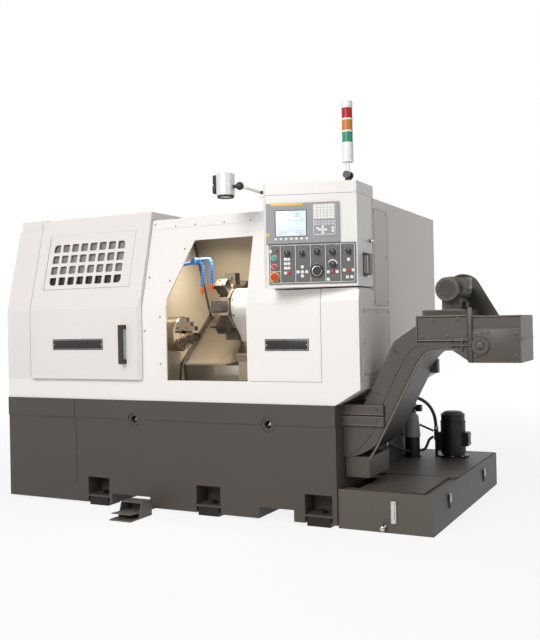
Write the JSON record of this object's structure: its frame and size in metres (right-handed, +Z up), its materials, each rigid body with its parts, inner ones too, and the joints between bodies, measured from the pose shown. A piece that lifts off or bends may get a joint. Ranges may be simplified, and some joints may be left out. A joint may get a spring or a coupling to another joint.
{
  "type": "cnc turning lathe",
  "caption": "Slant-bed turning lathe in a white sheet-metal enclosure with a sliding door, chuck, tool turret, tailstock, swinging control box, chip conveyor and coolant tank.",
  "frame": {"origin": "on the floor under the middle of the whole, foot switch and conveyor included", "axes": "+X along the spindle from the headstock end to the conveyor end, +Y from the operator's side to the back, +Z up"},
  "size_m": [3.362, 1.887, 2.339],
  "materials": {
    "white_paint": "satin",
    "cream_paint": "satin",
    "grey_paint": "satin",
    "cast_grey": "rough",
    "steel": "brushed",
    "black_plastic": "matte",
    "panel_grey": "matte",
    "red_plastic": "gloss",
    "green_plastic": "gloss",
    "lens_plastic": "gloss",
    "lamp_metal": "satin",
    "motor_black": "satin",
    "belt_rubber": "matte",
    "hose_blue": "matte"
  },
  "bodies": {
    "machine": {"base_frame": "grey_paint", "levelling_feet": "cast_grey", "access_plates": "grey_paint", "front_apron": "white_paint", "left_end_cover": "white_paint", "headstock_cover": "white_paint", "header_panel": "white_paint", "right_front_cover": "white_paint", "right_wall": "white_paint", "rear_housing": "white_paint", "headstock_wall": "cream_paint", "back_wall": "cream_paint", "slant_bed": "cast_grey", "way_covers": "steel", "headstock": "cast_grey", "spindle_motor": "motor_black", "drive_belt": "belt_rubber", "control_cap": "white_paint", "conveyor_trough": "grey_paint", "conveyor_hood": "grey_paint", "conveyor_belt": "steel", "conveyor_drive": "grey_paint", "coolant_tank": "grey_paint", "tank_lid": "grey_paint", "coolant_pump": "motor_black", "coolant_filter": "motor_black", "coolant_hose": "hose_blue", "coolant_lines": "belt_rubber", "pedal_guard": "motor_black", "electrical_cabinet": "white_paint"},
    "door": {"sliding_door": "white_paint", "door_handle": "black_plastic"},
    "spindle_set": {"spindle": "steel", "chuck_body": "steel"},
    "jaw_one": {"chuck_jaw_1": "steel"},
    "jaw_two": {"chuck_jaw_2": "steel"},
    "jaw_three": {"chuck_jaw_3": "steel"},
    "carriage": {"saddle": "steel"},
    "turret_carrier": {"cross_slide": "steel", "turret_housing": "white_paint"},
    "turret": {"turret_disc": "steel", "tool_holders": "steel"},
    "tailstock_unit": {"tailstock": "cast_grey"},
    "quill_unit": {"quill": "steel"},
    "control_swing": {"control_box": "white_paint", "display_unit": "panel_grey", "switch_panel": "panel_grey"},
    "stop_cap": {"stop_button": "red_plastic"},
    "start_cap": {"start_button": "green_plastic"},
    "hold_cap": {"hold_button": "red_plastic"},
    "mode_knob": {"mode_selector": "black_plastic"},
    "power_knob": {"power_selector": "black_plastic"},
    "pulse_wheel": {"handwheel": "black_plastic"},
    "beacon": {"beacon_mast": "steel", "beacon_lenses": "lens_plastic"},
    "lamp_swing_arm": {"lamp_arm": "lamp_metal"},
    "lamp": {"lamp_head": "lamp_metal"},
    "cabinet_leaf": {"cabinet_door": "white_paint"},
    "head_shaft": {"conveyor_shaft": "steel"},
    "pedal_tread": {"foot_pedal": "steel"}
  },
  "joints": [
    {"name": "door_slide", "type": "slide", "parent": "machine", "child": "door", "axis": [1, 0, 0], "range_m": [0, 0.73]},
    {"name": "spindle_turn", "type": "hinge", "parent": "machine", "child": "spindle_set", "pos_m": [-0.569, -0.3435, 1.077], "axis": [1, 0, 0], "continuous": true},
    {"name": "jaw_one_slide", "type": "slide", "parent": "spindle_set", "child": "jaw_one", "axis": [0, 0, 1], "range_m": [-0.008, 0.012]},
    {"name": "jaw_two_slide", "type": "slide", "parent": "spindle_set", "child": "jaw_two", "axis": [0, -0.866, -0.5], "range_m": [-0.008, 0.012]},
    {"name": "jaw_three_slide", "type": "slide", "parent": "spindle_set", "child": "jaw_three", "axis": [0, 0.866, -0.5], "range_m": [-0.008, 0.012]},
    {"name": "carriage_slide", "type": "slide", "parent": "machine", "child": "carriage", "axis": [1, 0, 0], "range_m": [-0.03, 0.28]},
    {"name": "cross_slide_travel", "type": "slide", "parent": "carriage", "child": "turret_carrier", "axis": [0, 0.7547, 0.6561], "range_m": [-0.045, 0.12]},
    {"name": "turret_index", "type": "hinge", "parent": "turret_carrier", "child": "turret", "pos_m": [-0.188, -0.14728, 1.24758], "axis": [1, 0, 0], "continuous": true},
    {"name": "tailstock_slide", "type": "slide", "parent": "machine", "child": "tailstock_unit", "axis": [1, 0, 0], "range_m": [-0.25, 0.05]},
    {"name": "quill_slide", "type": "slide", "parent": "tailstock_unit", "child": "quill_unit", "axis": [-1, 0, 0], "range_m": [0, 0.1]},
    {"name": "control_box_swing", "type": "hinge", "parent": "machine", "child": "control_swing", "pos_m": [0.401, -0.6835, 1.8], "axis": [0, 0, 1], "range_deg": [-60, 0]},
    {"name": "stop_press", "type": "slide", "parent": "control_swing", "child": "stop_cap", "axis": [-0.3239, 0.9461, 0], "range_m": [0, 0.004], "stiffness_N_per_m": 500},
    {"name": "start_press", "type": "slide", "parent": "control_swing", "child": "start_cap", "axis": [-0.3239, 0.9461, 0], "range_m": [0, 0.004], "stiffness_N_per_m": 500},
    {"name": "hold_press", "type": "slide", "parent": "control_swing", "child": "hold_cap", "axis": [-0.3239, 0.9461, 0], "range_m": [0, 0.004], "stiffness_N_per_m": 500},
    {"name": "mode_turn", "type": "hinge", "parent": "control_swing", "child": "mode_knob", "pos_m": [0.57156, -0.73353, 1.51], "axis": [0.3239, -0.9461, 0], "range_deg": [-120, 120]},
    {"name": "power_turn", "type": "hinge", "parent": "control_swing", "child": "power_knob", "pos_m": [0.80997, -0.6519, 1.515], "axis": [0.3239, -0.9461, 0], "range_deg": [-120, 120]},
    {"name": "pulse_wheel_turn", "type": "hinge", "parent": "control_swing", "child": "pulse_wheel", "pos_m": [0.64725, -0.70762, 1.412], "axis": [0.3239, -0.9461, 0], "continuous": true},
    {"name": "beacon_fold", "type": "hinge", "parent": "machine", "child": "beacon", "pos_m": [0.791, -0.5835, 1.937], "axis": [0, 1, 0], "range_deg": [-90, 0]},
    {"name": "lamp_arm_swing", "type": "hinge", "parent": "machine", "child": "lamp_swing_arm", "pos_m": [0.333, -0.7275, 1.862], "axis": [0, 0, 1], "range_deg": [-40, 30]},
    {"name": "lamp_tilt", "type": "hinge", "parent": "lamp_swing_arm", "child": "lamp", "pos_m": [0.216, -0.7735, 1.904], "axis": [1, 0, 0], "range_deg": [-30, 30]},
    {"name": "cabinet_door_swing", "type": "hinge", "parent": "machine", "child": "cabinet_leaf", "pos_m": [-1.549, 0.9175, 1.25], "axis": [0, 0, 1], "range_deg": [0, 110]},
    {"name": "head_shaft_turn", "type": "hinge", "parent": "machine", "child": "head_shaft", "pos_m": [1.476, -0.3335, 0.995], "axis": [0, 1, 0], "continuous": true},
    {"name": "pedal_press", "type": "hinge", "parent": "machine", "child": "pedal_tread", "pos_m": [-0.529, -0.7685, 0.024], "axis": [1, 0, 0], "range_deg": [0, 8], "stiffness_Nm_per_rad": 10, "springref_deg": -6.88}
  ],
  "couplings": [
    {"joint": "jaw_two_slide", "follows": "jaw_one_slide", "ratio": 1},
    {"joint": "jaw_three_slide", "follows": "jaw_one_slide", "ratio": 1}
  ]
}
